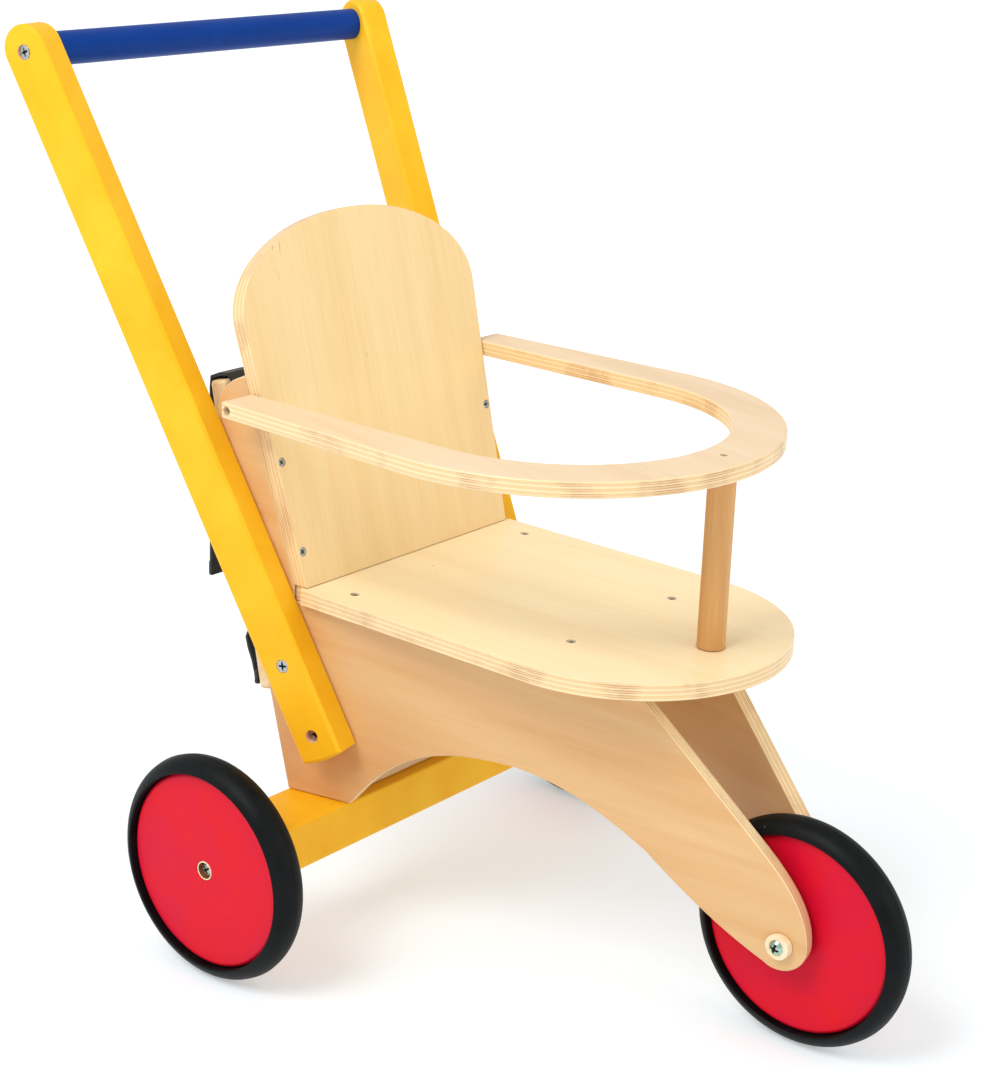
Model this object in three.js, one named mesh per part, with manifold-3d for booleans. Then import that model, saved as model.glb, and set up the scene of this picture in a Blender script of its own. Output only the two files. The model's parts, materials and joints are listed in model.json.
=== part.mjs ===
// A wooden doll stroller: two toed-in plywood side panels on a rear beam, three rubber-tyred wheels,
// a round-fronted seat, a round-topped backrest, a guard ring and a handle on two leaning arms.
// Millimetres, +Z up, the front of the stroller towards -Y, the ground at z = 0.
import * as THREE from 'three';
import { mergeVertices } from 'three/addons/utils/BufferGeometryUtils.js';
import Module from 'manifold-3d';

const wasm = await Module();
wasm.setup();

// Driving dimensions
const gap = 0.3;               // working clearance between neighbouring pieces
const ply = 9;                 // plywood thickness
const wheelRadius = 62.5;
const discRadius = 54;
const discThickness = 13;
const tyreTube = 10.8;         // radius of the tyre's round section
const rearAxleY = 77.3;
const frontAxleY = -192.7;
const rearHalfWidth = 81.8;    // outer faces of the side panels at the rear axle
const frontHalfWidth = 21.6;   // and at the front axle
const wheelFace = 164;         // outer face of a rear wheel
const beamTop = 78.5;
const beamHeight = 27;
const beamDepth = 38;
const beamCentreY = rearAxleY - 2.5;
const seatTop = 200;
const seatRearY = 90;
const seatHalfWidth = 87.5;
const seatFrontCentreY = -72;
const backTilt = THREE.MathUtils.degToRad(15.7);
const backY = 80.9;            // front face of the backrest where it meets the seat
const backTop = 198;           // length of the backrest along its slope
const crownHeight = 52;        // of which this much is the arched top
const ringTop = 303;
const ringCentreY = -19.8;
const ringOuter = 120.4;
const ringInner = 91.4;
const ringEndY = 117.2;
const postY = -124.7;
const postRadius = 7.4;
const armLean = THREE.MathUtils.degToRad(27.5);
const armDepth = 26.8;           // seen from the side
const armThickness = 18;
const armFoot = 111;           // height of the middle of an arm's lower end
const barRadius = 9.2;
const barHeight = 473.2;
const barReach = 172.6;        // how far the handlebar is behind the rear axle, along a panel
const strapWidth = 25;
const strapThickness = 1.8;

const toeIn = Math.atan((rearHalfWidth - frontHalfWidth) / (rearAxleY - frontAxleY));
const alongPanel = (y) => (y - rearAxleY) / Math.cos(toeIn);
const outerAt = (y) => rearHalfWidth + (y - rearAxleY) * Math.tan(toeIn);
const yOf = (u) => rearAxleY + u * Math.cos(toeIn);

const finishes = {
  plywood: { color: 0xeec48a, roughness: 0.55 },
  panelPlywood: { color: 0xe9b878, roughness: 0.55 },
  beech: { color: 0xeec795, roughness: 0.5 },
  yellow: { color: 0xfdc32d, roughness: 0.4 },
  blue: { color: 0x0b4694, roughness: 0.35 },
  red: { color: 0xdf2338, roughness: 0.35 },
  rubber: { color: 0x15181a, roughness: 0.7 },
  zinc: { color: 0xb9bcc0, roughness: 0.3, metalness: 0.9 },
  steel: { color: 0x8f9296, roughness: 0.35, metalness: 0.9 },
  webbing: { color: 0x121416, roughness: 0.9 },
};

const stroller = new THREE.Group();
stroller.name = 'doll_stroller';

function addGroup(parent, name) {
  const group = new THREE.Group();
  group.name = name;
  parent.add(group);
  return group;
}

function addMesh(parent, name, geometry, finish) {
  const mesh = new THREE.Mesh(geometry, new THREE.MeshStandardMaterial(finishes[finish]));
  mesh.name = name;
  parent.add(mesh);
  return mesh;
}

// One space per side: x runs rearward along the panel, y up, and z square to the panel's outer face.
const frameGroup = addGroup(stroller, 'frame');
const sides = { left: 1, right: -1 };
const sideGroups = {};
for (const [name, side] of Object.entries(sides)) {
  const group = addGroup(frameGroup, `${name}_side`);
  const rearward = new THREE.Vector3(side * Math.sin(toeIn), Math.cos(toeIn), 0);
  const up = new THREE.Vector3(0, 0, 1);
  const basis = new THREE.Matrix4().makeBasis(rearward, up, rearward.clone().cross(up));
  group.quaternion.setFromRotationMatrix(basis);
  group.position.set(side * rearHalfWidth, rearAxleY, 0);
  sideGroups[name] = group;
}

// Solid modelling on meshes that may sit anywhere in the scene
function toManifold(mesh, matrix) {
  const geometry = mesh.geometry.clone();
  geometry.deleteAttribute('normal');
  geometry.deleteAttribute('uv');
  if (matrix) geometry.applyMatrix4(matrix);
  const merged = mergeVertices(geometry, 1e-4);
  return new wasm.Manifold(new wasm.Mesh({
    numProp: 3,
    vertProperties: new Float32Array(merged.attributes.position.array),
    triVerts: new Uint32Array(merged.index.array),
  }));
}

function fromManifold(solid) {
  const data = solid.getMesh();
  const geometry = new THREE.BufferGeometry();
  geometry.setAttribute('position', new THREE.BufferAttribute(new Float32Array(data.vertProperties), 3));
  geometry.setIndex(new THREE.BufferAttribute(new Uint32Array(data.triVerts), 1));
  geometry.computeVertexNormals();
  return geometry;
}

function relativeMatrix(tool, mesh) {
  stroller.updateMatrixWorld(true);
  tool.updateWorldMatrix(true, false);
  return mesh.matrixWorld.clone().invert().multiply(tool.matrixWorld);
}

function cut(mesh, ...tools) {
  let solid = toManifold(mesh);
  for (const tool of tools) solid = solid.subtract(toManifold(tool, relativeMatrix(tool, mesh)));
  mesh.geometry = fromManifold(solid);
}

function toolMesh(parent, geometry, x, y, z) {
  const tool = new THREE.Mesh(geometry);
  tool.position.set(x, y, z);
  tool.parent = parent;
  return tool;
}

function lathe(profile, segments) {
  return new THREE.LatheGeometry(profile.map(([r, h]) => new THREE.Vector2(r, h)), segments);
}

function plate(shape, thickness, curveSegments = 24) {
  return new THREE.ExtrudeGeometry(shape, { depth: thickness, bevelEnabled: false, curveSegments });
}

// Screws: the head's flat faces +Y of the lathe; 'facing' turns it to the outside of the work.
const woodScrew = { head: 2.4, headDepth: 1.8, shank: 1.2 };
const stoutScrew = { head: 3.6, headDepth: 2.6, shank: 1.8 };
const fineScrew = { head: 1.8, headDepth: 1.4, shank: 1 };

function screwProfile({ head, headDepth, shank, length }, slack, overrun) {
  return [
    [0, -length - slack], [shank + slack, -length + 2 - slack], [shank + slack, -headDepth - slack / 2],
    [head + slack, -0.35], [head + slack, overrun], [0, overrun],
  ];
}

function addScrew(parent, name, size, at, facing, through, sunk = 0) {
  const screw = addMesh(parent, name, lathe(screwProfile(size, 0, 0), 10), 'zinc');
  screw.quaternion.setFromUnitVectors(new THREE.Vector3(0, 1, 0), facing.clone().normalize());
  screw.position.copy(at).addScaledVector(facing, -sunk);
  const tool = toolMesh(parent, lathe(screwProfile(size, 0.25, sunk + 1), 10), 0, 0, 0);
  tool.quaternion.copy(screw.quaternion);
  tool.position.copy(screw.position);
  for (const mesh of through) cut(mesh, tool);
  return screw;
}

// Side panels: the foot on the beam, the arch, the leg to the front axle and the upright
const foot = beamTop + gap;
const heel = 16;
const behindBack = backY + ply / Math.cos(backTilt);
const upright = (z) => alongPanel(behindBack + (z - seatTop) * Math.tan(backTilt)) + gap;
const tipRadius = 20.6;
const tip = new THREE.Vector2(upright(291) + 2.4, 291);
const tipStart = new THREE.Vector2(Math.cos(-0.22), Math.sin(-0.22)).multiplyScalar(tipRadius).add(tip);
const rearSlope = (tipStart.x - heel) / (tipStart.y - foot);
const rearEdge = (z) => yOf(heel + (z - foot) * rearSlope);

function panelShape() {
  const axle = alongPanel(frontAxleY);
  const underSeat = seatTop - ply - gap;
  const legEnd = 14.3;
  const shape = new THREE.Shape();
  shape.moveTo(heel, foot);
  shape.lineTo(tipStart.x, tipStart.y);
  shape.absarc(tip.x, tip.y, tipRadius, -0.22, 1.4, false);
  shape.lineTo(upright(seatTop + gap), seatTop + gap);
  shape.lineTo(upright(seatTop + gap), underSeat);
  shape.lineTo(-181, underSeat);
  shape.lineTo(axle + 20, 118);
  shape.bezierCurveTo(axle + 2, 101, axle - legEnd, 84, axle - legEnd, wheelRadius);
  shape.absarc(axle, wheelRadius, legEnd, Math.PI, Math.PI * 1.7, false);
  shape.quadraticCurveTo(-236, 66, -200, 95.5);
  shape.bezierCurveTo(-172, 112.5, -146, 124.5, -113, 124.5);
  shape.bezierCurveTo(-62, 124.5, -43, 103.5, -23.5, foot);
  return shape;
}

const panels = {};
for (const [name, side] of Object.entries(sides)) {
  const panel = addMesh(sideGroups[name], `side_panel_${name}`, plate(panelShape(), ply, 14), 'panelPlywood');
  panel.position.z = side > 0 ? -ply : 0;
  panels[name] = panel;
}

// Rear beam, and the board that stands on it between the panels
const beamHalf = wheelFace - discThickness - 2.6;
const beam = addMesh(frameGroup, 'rear_beam',
  new THREE.BoxGeometry(beamHalf * 2, beamDepth, beamHeight), 'yellow');
beam.position.set(0, beamCentreY, beamTop - beamHeight / 2);

const boardThickness = 12;
const boardHeight = 70;
const boardY = rearAxleY - 9;
const boardHalf = outerAt(boardY - boardThickness / 2) - ply / Math.cos(toeIn) - gap;
const board = addMesh(frameGroup, 'cross_board',
  new THREE.BoxGeometry(boardHalf * 2, boardThickness, boardHeight), 'beech');
board.position.set(0, boardY, beamTop + gap + boardHeight / 2);

// Seat: straight sides and a half-round front
const seatGroup = addGroup(stroller, 'seat_group');
const seatShape = new THREE.Shape();
const seatCorner = outerAt(seatRearY - 5);
seatShape.moveTo(seatCorner, seatRearY);
seatShape.lineTo(-seatCorner, seatRearY);
seatShape.lineTo(-seatCorner, seatRearY - 4);
seatShape.lineTo(-seatHalfWidth, seatRearY - 7);
seatShape.absarc(0, seatFrontCentreY, seatHalfWidth, Math.PI, Math.PI * 2, false);
seatShape.lineTo(seatHalfWidth, seatRearY - 7);
seatShape.lineTo(seatCorner, seatRearY - 4);
const seat = addMesh(seatGroup, 'seat', plate(seatShape, ply, 20), 'plywood');
seat.position.z = seatTop - ply;

// Backrest: stands in a shallow rebate; its edges follow the panels' outer faces up to an arched top
const backGroup = addGroup(stroller, 'backrest_group');
backGroup.position.set(0, backY, seatTop);
backGroup.rotation.x = Math.PI / 2 - backTilt;
const backHalf = (t) => outerAt(backY + t * Math.sin(backTilt) + ply * Math.cos(backTilt));
const shoulder = backTop - crownHeight;
const backShape = new THREE.Shape();
backShape.moveTo(-backHalf(-4), -4);
backShape.lineTo(backHalf(-4), -4);
backShape.lineTo(backHalf(shoulder), shoulder);
backShape.absellipse(0, shoulder, backHalf(shoulder), crownHeight, 0, Math.PI, false, 0);
const backrest = addMesh(backGroup, 'backrest', plate(backShape, ply, 36), 'plywood');
backrest.position.z = -ply;
cut(backrest, toolMesh(stroller, new THREE.BoxGeometry(300, 80, 40), 0, backY, seatTop - 20));
cut(seat, toolMesh(stroller, new THREE.BoxGeometry(300, 40, 2), 0, backY - gap + 20, seatTop - gap + 1));

// Guard ring: a horizontal U that passes outside the backrest and ends on the panels
const ringGroup = addGroup(stroller, 'ring_group');
const ringShape = new THREE.Shape();
const ringEndOuter = 113.8;
ringShape.moveTo(ringEndOuter, ringEndY);
ringShape.lineTo(ringInner + 0.2, ringEndY);
ringShape.lineTo(ringInner, ringCentreY);
ringShape.absarc(0, ringCentreY, ringInner, 0, -Math.PI, true);
ringShape.lineTo(-ringInner - 0.2, ringEndY);
ringShape.lineTo(-ringEndOuter, ringEndY);
ringShape.absarc(0, ringCentreY, ringOuter, Math.PI, Math.PI * 2, false);
const ring = addMesh(ringGroup, 'guard_ring', plate(ringShape, ply, 16), 'plywood');
ring.position.z = ringTop - ply;

// Dowel post between the seat and the ring
const postLength = ringTop - ply - seatTop - gap;
const post = addMesh(ringGroup, 'ring_post',
  new THREE.CylinderGeometry(postRadius, postRadius, postLength, 20), 'beech');
post.rotation.x = Math.PI / 2;
post.position.set(0, postY, seatTop + postLength / 2);
const postSocket = toolMesh(stroller, new THREE.CylinderGeometry(postRadius + gap, postRadius + gap, 2, 24),
  0, postY, seatTop - gap + 1);
postSocket.rotation.x = Math.PI / 2;
cut(seat, postSocket);

// Handle: an arm on the outer face of each panel and a dowel between them
const handleGroup = addGroup(stroller, 'handle');
const barY = yOf(barReach);
const armTopHeight = barHeight + 1.2;
const armLength = (armTopHeight - armFoot) / Math.cos(armLean);
const armShape = new THREE.Shape();
armShape.moveTo(-armDepth / 2, 0);
armShape.quadraticCurveTo(0, -3, armDepth / 2, 0);
armShape.lineTo(armDepth / 2, armLength);
armShape.absarc(0, armLength, armDepth / 2, 0, Math.PI, false);
const armRounding = 1.6;
const arms = {};
for (const [name, side] of Object.entries(sides)) {
  const geometry = new THREE.ExtrudeGeometry(armShape, {
    depth: armThickness - 2 * armRounding, curveSegments: 8, bevelEnabled: true,
    bevelThickness: armRounding, bevelSize: armRounding, bevelOffset: -armRounding, bevelSegments: 1,
  });
  const arm = addMesh(sideGroups[name], `handle_arm_${name}`, geometry, 'yellow');
  arm.rotation.z = -armLean;
  arm.position.set(barReach - (barHeight - armFoot) * Math.tan(armLean), armFoot, side > 0 ?
    gap + armRounding : -gap - armThickness + armRounding);
  arms[name] = arm;
}

const bar = addMesh(handleGroup, 'handlebar',
  new THREE.CylinderGeometry(barRadius, barRadius, 300, 24), 'blue');
bar.rotation.z = Math.PI / 2;
bar.position.set(0, barY, barHeight);
for (const [name, side] of Object.entries(sides)) {
  cut(bar, toolMesh(sideGroups[name], new THREE.BoxGeometry(80, 80, 60), barReach, barHeight, side * 30));
}

// Slats across the back of the uprights, leaning with their rear edges
const slatThickness = 12;
function addSlat(name, bottom, height, inset) {
  const lean = Math.atan(rearSlope * Math.cos(toeIn));
  const half = outerAt(rearEdge(bottom)) - inset;
  const slat = addMesh(frameGroup, name, new THREE.BoxGeometry(half * 2, slatThickness, height), 'beech');
  const middle = bottom + height / 2;
  slat.rotation.x = -lean;
  slat.position.set(0, rearEdge(middle) + (ply * Math.sin(toeIn) + gap + 0.5) + slatThickness / 2, middle);
  return slat;
}
const upperSlat = addSlat('upper_rear_slat', 269, 34, 9.5);
const lowerSlat = addSlat('lower_rear_slat', 131, 34, 5.5);

// Webbing: over the upper slat, down behind the backrest, round the lower slat, both ends hanging
function ribbon(points, thickness) {
  const through = points.map(([y, z]) => new THREE.Vector3(y, z, 0));
  const curve = new THREE.CatmullRomCurve3(through, false, 'centripetal');
  const count = 46;
  const near = [];
  const far = [];
  for (let i = 0; i <= count; i += 1) {
    const p = curve.getPointAt(i / count);
    const t = curve.getTangentAt(i / count);
    near.push(new THREE.Vector2(p.x - t.y * thickness / 2, p.y + t.x * thickness / 2));
    far.push(new THREE.Vector2(p.x + t.y * thickness / 2, p.y - t.x * thickness / 2));
  }
  return new THREE.Shape([...near, ...far.reverse()]);
}

const slatPoint = (slat, back, up) => {
  slat.updateMatrix();
  const p = new THREE.Vector3(0, back, up).applyMatrix4(slat.matrix);
  return [p.y, p.z];
};
const strapStandoff = strapThickness / 2 + 0.7;
const halfSlat = slatThickness / 2 + strapStandoff;
const strapPath = [
  [rearEdge(286) + 21, 187], [rearEdge(286) + 21, 230], [rearEdge(286) + 20.6, 272],
  slatPoint(upperSlat, halfSlat + 3.4, 6), slatPoint(upperSlat, halfSlat + 0.5, 18.6),
  slatPoint(upperSlat, halfSlat - 2.8, 18.1 + strapStandoff),
  slatPoint(upperSlat, -halfSlat + 2.8, 18.1 + strapStandoff),
  slatPoint(upperSlat, -halfSlat - 0.1, 18.6), slatPoint(upperSlat, -halfSlat - 0.5, 12),
  slatPoint(upperSlat, -halfSlat - 1.5, -17), [rearEdge(220) + 3, 220], [rearEdge(190) + 3.5, 190],
  slatPoint(lowerSlat, -1, 17 + strapStandoff + 6), slatPoint(lowerSlat, halfSlat + 3.4, 14),
  slatPoint(lowerSlat, halfSlat + 1.2, -4), [rearEdge(131) + 18, 132],
];
const harness = addGroup(stroller, 'harness');
for (const [name, side] of Object.entries(sides)) {
  const strap = addMesh(harness, `strap_${name}`,
    plate(ribbon(strapPath, strapThickness), strapWidth, 1), 'webbing');
  strap.quaternion.setFromRotationMatrix(new THREE.Matrix4().makeBasis(
    new THREE.Vector3(0, 1, 0), new THREE.Vector3(0, 0, 1), new THREE.Vector3(1, 0, 0)));
  strap.position.x = side > 0 ? 84.5 - strapWidth - 3 : -84.5 + 3;
}

// Wheels: a painted disc, a counterbored sleeve in its middle and a tyre that stands proud of both faces
function addWheel(name, x, y) {
  const wheel = addGroup(stroller, name);
  wheel.position.set(x, y, wheelRadius);
  wheel.rotation.z = -Math.PI / 2;
  const half = discThickness / 2;
  const bushRadius = 5.3;
  const counterbore = 4.6;
  addMesh(wheel, `${name}_disc`, lathe([
    [bushRadius + gap, -half], [discRadius - 1, -half], [discRadius, -half + 1], [discRadius, half - 1],
    [discRadius - 1, half], [bushRadius + gap, half], [bushRadius + gap, -half],
  ], 40), 'red');
  addMesh(wheel, `${name}_bush`, lathe([
    [3, -half], [bushRadius, -half], [bushRadius, half], [counterbore, half],
    [counterbore, half - 3], [3, half - 3], [3, -half],
  ], 20), 'beech');
  const tyre = [];
  const inner = discRadius + gap;
  const centre = wheelRadius - tyreTube;
  const sweep = Math.acos((inner + 1 - centre) / tyreTube);
  tyre.push([inner, -tyreTube + 2.2]);
  for (let i = 0; i <= 8; i += 1) {
    const angle = -sweep + (2 * sweep * i) / 8;
    tyre.push([centre + tyreTube * Math.cos(angle), tyreTube * Math.sin(angle)]);
  }
  tyre.push([inner, tyreTube - 2.2], [inner, -tyreTube + 2.2]);
  addMesh(wheel, `${name}_tyre`, lathe(tyre, 44), 'rubber');
}

addWheel('rear_wheel_left', wheelFace - discThickness / 2, rearAxleY);
addWheel('rear_wheel_right', -wheelFace + discThickness / 2, rearAxleY);
stroller.getObjectByName('rear_wheel_right').rotation.z = Math.PI / 2;
addWheel('front_wheel', 0, frontAxleY);

const axes = new THREE.Vector3(1, 0, 0);
const wheelScrew = { head: 4.1, headDepth: 1.8, shank: 2.4, length: 40 };
function panHead({ head, headDepth, shank, length }) {
  return lathe([[0, -length], [shank, -length + 2], [shank, 0], [head, 0],
    [head, headDepth * 0.25], [head * 0.62, headDepth * 0.86], [0, headDepth]], 12);
}

for (const [name, side] of Object.entries(sides)) {
  const out = axes.clone().multiplyScalar(side);
  const spacer = addMesh(frameGroup, `rear_wheel_spacer_${name}`, lathe([
    [3, 0], [7, 0], [7, 1.6], [3, 1.6], [3, 0]], 20), 'steel');
  spacer.rotation.z = -Math.PI / 2;
  spacer.position.set(side > 0 ? beamHalf + 0.5 : -beamHalf - 2.1, rearAxleY, wheelRadius);
  const screw = addMesh(frameGroup, `rear_wheel_screw_${name}`, panHead(wheelScrew), 'zinc');
  screw.quaternion.setFromUnitVectors(new THREE.Vector3(0, 1, 0), out);
  screw.position.set(side * (wheelFace - 2.7), rearAxleY, wheelRadius);
  const boreRadius = wheelScrew.shank + 0.25;
  const bore = toolMesh(frameGroup, new THREE.CylinderGeometry(boreRadius, boreRadius, 60, 12),
    side * (wheelFace - 2.7 - wheelScrew.length + 29.4), rearAxleY, wheelRadius);
  bore.rotation.z = Math.PI / 2;
  cut(beam, bore);
}

// Front axle: a steel tube between the legs, with a wedge washer and a screw on each outer face
const axleRadius = 2.7;
const legFace = outerAt(frontAxleY);
const washerProud = 3.6;
const axleHalf = legFace - ply / Math.cos(toeIn) * 0.1;
const frontAxle = addMesh(frameGroup, 'front_axle', lathe([
  [1.5, -axleHalf], [axleRadius, -axleHalf], [axleRadius, axleHalf], [1.5, axleHalf],
  [1.5, -axleHalf]], 20), 'steel');
frontAxle.rotation.z = -Math.PI / 2;
frontAxle.position.set(0, frontAxleY, wheelRadius);
for (const [name, side] of Object.entries(sides)) {
  const out = axes.clone().multiplyScalar(side);
  const bore = toolMesh(frameGroup, new THREE.CylinderGeometry(axleRadius + gap, axleRadius + gap, 30, 16),
    side * legFace, frontAxleY, wheelRadius);
  bore.rotation.z = Math.PI / 2;
  cut(panels[name], bore);
  const spacerLength = legFace - ply / Math.cos(toeIn) - discThickness / 2 - 2.4;
  const spacer = addMesh(frameGroup, `front_spacer_${name}`, lathe([
    [axleRadius + gap, 0], [6, 0], [6, spacerLength], [axleRadius + gap, spacerLength],
    [axleRadius + gap, 0]], 20),
  'rubber');
  spacer.quaternion.setFromUnitVectors(new THREE.Vector3(0, 1, 0), out);
  spacer.position.set(side * (discThickness / 2 + 0.8), frontAxleY, wheelRadius);
  const washer = addMesh(frameGroup, `front_washer_${name}`, new THREE.CylinderGeometry(6.9, 6.9,
    washerProud * 2, 28), 'beech');
  washer.rotation.z = Math.PI / 2;
  washer.position.set(side * legFace, frontAxleY, wheelRadius);
  const hole = toolMesh(frameGroup, new THREE.CylinderGeometry(axleRadius + gap, axleRadius + gap, 30, 16),
    side * legFace, frontAxleY, wheelRadius);
  hole.rotation.z = Math.PI / 2;
  const legBlock = toolMesh(sideGroups[name], new THREE.BoxGeometry(60, 60, 30), alongPanel(frontAxleY),
    wheelRadius, side * (gap / 2 - 15));
  cut(washer, hole, legBlock);
  const screw = addMesh(frameGroup, `front_screw_${name}`,
    panHead({ head: 4.2, headDepth: 2.2, shank: 1.2, length: 14 }), 'zinc');
  screw.quaternion.setFromUnitVectors(new THREE.Vector3(0, 1, 0), out);
  screw.position.set(side * (legFace + washerProud + gap / 2), frontAxleY, wheelRadius);
}

// Fasteners
const down = new THREE.Vector3(0, 0, 1);
const outward = new THREE.Vector3(0, 0, 1);
for (const [name, side] of Object.entries(sides)) {
  const group = sideGroups[name];
  const facing = outward.clone().multiplyScalar(side);
  const armFace = side * (gap + armThickness);
  const onArm = (height) => new THREE.Vector3(
    barReach - (barHeight - height) * Math.tan(armLean), height, armFace);
  addScrew(group, `arm_screw_upper_${name}`, { ...stoutScrew, length: 26 }, onArm(159.5), facing,
    [arms[name], panels[name]], 0.2);
  addScrew(group, `arm_screw_lower_${name}`, { ...stoutScrew, length: 36 }, onArm(122.8), facing,
    [arms[name], panels[name], board], 3.5);
  addScrew(group, `handlebar_screw_${name}`, { ...stoutScrew, head: 4, length: 44 },
    new THREE.Vector3(barReach, barHeight, armFace), new THREE.Vector3(side * Math.sin(toeIn) * side, 0,
      Math.cos(toeIn) * side), [arms[name], bar], 0.3);

  const middle = (y) => side * (outerAt(y) - ply / Math.cos(toeIn) / 2);
  for (const [place, y] of [['front', -68.5], ['rear', 57]]) {
    addScrew(seatGroup, `seat_screw_${place}_${name}`, { ...woodScrew, length: 30 },
      new THREE.Vector3(middle(y), y, seatTop), down, [seat, panels[name]], 0.5);
  }
  for (const [place, t] of [['upper', 70], ['lower', 20]]) {
    addScrew(backGroup, `backrest_screw_${place}_${name}`, { ...woodScrew, length: 26 },
      new THREE.Vector3(side * (backHalf(t) - ply / Math.cos(toeIn) / 2 + 1.2), t, 0), outward,
      [backrest, panels[name]], 0.5);
  }
  addScrew(ringGroup, `ring_screw_${name}`, { ...woodScrew, length: 40 },
    new THREE.Vector3(side * (ringEndOuter + 0.2), ringEndY - 4.5, ringTop - ply / 2),
    axes.clone().multiplyScalar(side), [ring, backrest], 2.2);
  for (const [place, y] of [['front', beamCentreY - 11], ['rear', beamCentreY + 11]]) {
    addScrew(frameGroup, `beam_screw_${place}_${name}`, { ...woodScrew, length: 46 },
      new THREE.Vector3(middle(y), y, beamTop - beamHeight), new THREE.Vector3(0, 0, -1),
      [beam, panels[name]], 0.2);
  }
}
addScrew(ringGroup, 'post_screw_top', { ...fineScrew, length: 30 },
  new THREE.Vector3(0, postY, ringTop), down, [ring, post], 0.5);
addScrew(ringGroup, 'post_screw_bottom', { ...woodScrew, length: 30 },
  new THREE.Vector3(0, postY, seatTop - ply), new THREE.Vector3(0, 0, -1), [seat, post], 0.1);

export default stroller;
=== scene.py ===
import json
import math
import random

import bmesh
import bpy
from mathutils import Matrix, Vector

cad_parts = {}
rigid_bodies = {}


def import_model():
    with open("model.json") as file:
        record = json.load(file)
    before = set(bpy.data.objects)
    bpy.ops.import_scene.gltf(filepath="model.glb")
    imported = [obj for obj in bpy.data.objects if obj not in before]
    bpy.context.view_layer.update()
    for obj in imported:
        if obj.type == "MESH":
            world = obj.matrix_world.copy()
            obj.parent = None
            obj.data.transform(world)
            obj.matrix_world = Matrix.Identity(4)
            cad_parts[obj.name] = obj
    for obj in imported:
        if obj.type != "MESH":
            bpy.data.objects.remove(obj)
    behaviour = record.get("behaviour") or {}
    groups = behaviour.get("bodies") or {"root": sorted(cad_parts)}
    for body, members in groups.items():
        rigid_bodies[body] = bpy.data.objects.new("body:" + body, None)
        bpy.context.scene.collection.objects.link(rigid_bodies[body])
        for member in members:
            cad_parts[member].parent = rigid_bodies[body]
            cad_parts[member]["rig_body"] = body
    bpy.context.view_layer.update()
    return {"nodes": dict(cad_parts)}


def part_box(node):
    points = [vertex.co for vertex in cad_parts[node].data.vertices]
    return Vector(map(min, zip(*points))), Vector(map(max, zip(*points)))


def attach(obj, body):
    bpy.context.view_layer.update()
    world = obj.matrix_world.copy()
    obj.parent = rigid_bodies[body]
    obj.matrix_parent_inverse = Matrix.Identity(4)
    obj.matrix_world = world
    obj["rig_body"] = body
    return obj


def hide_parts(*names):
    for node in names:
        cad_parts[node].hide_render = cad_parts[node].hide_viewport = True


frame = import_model()
nodes = frame["nodes"]
random.seed(7)
mm = 0.001


def colour(hexText):
    parts = [int(hexText[i:i + 2], 16) / 255 for i in (1, 3, 5)]
    return tuple(c / 12.92 if c <= 0.04045 else ((c + 0.055) / 1.055) ** 2.4 for c in parts) + (1.0,)


def addNode(tree, kind, links=None, **settings):
    node = tree.nodes.new(kind)
    for name, value in settings.items():
        setattr(node, name, value)
    for key, value in (links or {}).items():
        if isinstance(value, bpy.types.NodeSocket):
            tree.links.new(value, node.inputs[key])
        else:
            node.inputs[key].default_value = value
    return node


def newMaterial(name, **constants):
    material = bpy.data.materials.new(name)
    material.use_nodes = True
    tree = material.node_tree
    shader = tree.nodes["Principled BSDF"]
    for key, value in constants.items():
        shader.inputs[key.replace("_", " ")].default_value = value
    return material, tree, shader


# where things are is read from the frame
def corners(name):
    return [v.co.copy() for v in nodes[name].data.vertices]


def screwAxis(name):
    # the middle of the head's outer face, and the way the head looks
    points = corners(name)
    middle = sum(points, Vector()) / len(points)
    far = max(points, key=lambda p: (p - middle).length)
    axis = (far - middle).normalized()
    for _ in range(30):    # settles on the long way of the points
        axis = sum(((p - middle) * (p - middle).dot(axis) for p in points), Vector()).normalized()
    reach = [(p - middle).dot(axis) for p in points]
    spread = [((p - middle) - axis * (p - middle).dot(axis)).length for p in points]
    half = (max(reach) + min(reach)) / 2
    upper = max(s for s, r in zip(spread, reach) if r > half)
    lower = max(s for s, r in zip(spread, reach) if r <= half)
    if lower > upper:
        axis = -axis
        reach = [-r for r in reach]
    return middle + axis * max(reach), axis, max(spread), max(reach) - min(reach)


screwNames = sorted(name for name in nodes if "screw" in name)
screws = {name: screwAxis(name) for name in screwNames}
# how far around, above and below a screw counts as its hole, whose edges stay sharp, and the axle's own hole
holeSizes = {"around": 1.1, "above": 6, "below": 2, "axleRadius": 4.2, "axleOut": 20, "axleLength": 100}
bores = [(at, axis, reach + holeSizes["around"] * mm, length) for at, axis, reach, length in screws.values()]
axleLow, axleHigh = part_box("front_axle")
axleMiddle = (axleLow + axleHigh) / 2
bores.append((Vector((axleHigh.x + holeSizes["axleOut"] * mm, axleMiddle.y, axleMiddle.z)), Vector((1, 0, 0)),
              holeSizes["axleRadius"] * mm, holeSizes["axleLength"] * mm))


def inBore(point):
    for at, axis, reach, length in bores:
        along = (point - at).dot(axis)
        off = ((point - at) - axis * along).length
        if -length - holeSizes["below"] * mm < along < holeSizes["above"] * mm and off < reach:
            return True
    return False


def plateFrame(name, grain):
    # x runs with the grain, z is square to the widest face, and the origin lies on the lower face
    facing = {}
    for face in nodes[name].data.polygons:
        key = tuple(round(c, 2) for c in face.normal)
        facing[key] = facing.get(key, 0) + face.area
    normal = Vector(max(facing, key=facing.get)).normalized()
    grain = (Vector(grain) - normal * normal.dot(Vector(grain))).normalized()
    basis = Matrix((grain, normal.cross(grain), normal))
    points = corners(name)
    low = min(p.dot(normal) for p in points)
    high = max(p.dot(normal) for p in points)
    return basis, normal, low, high - low


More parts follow.
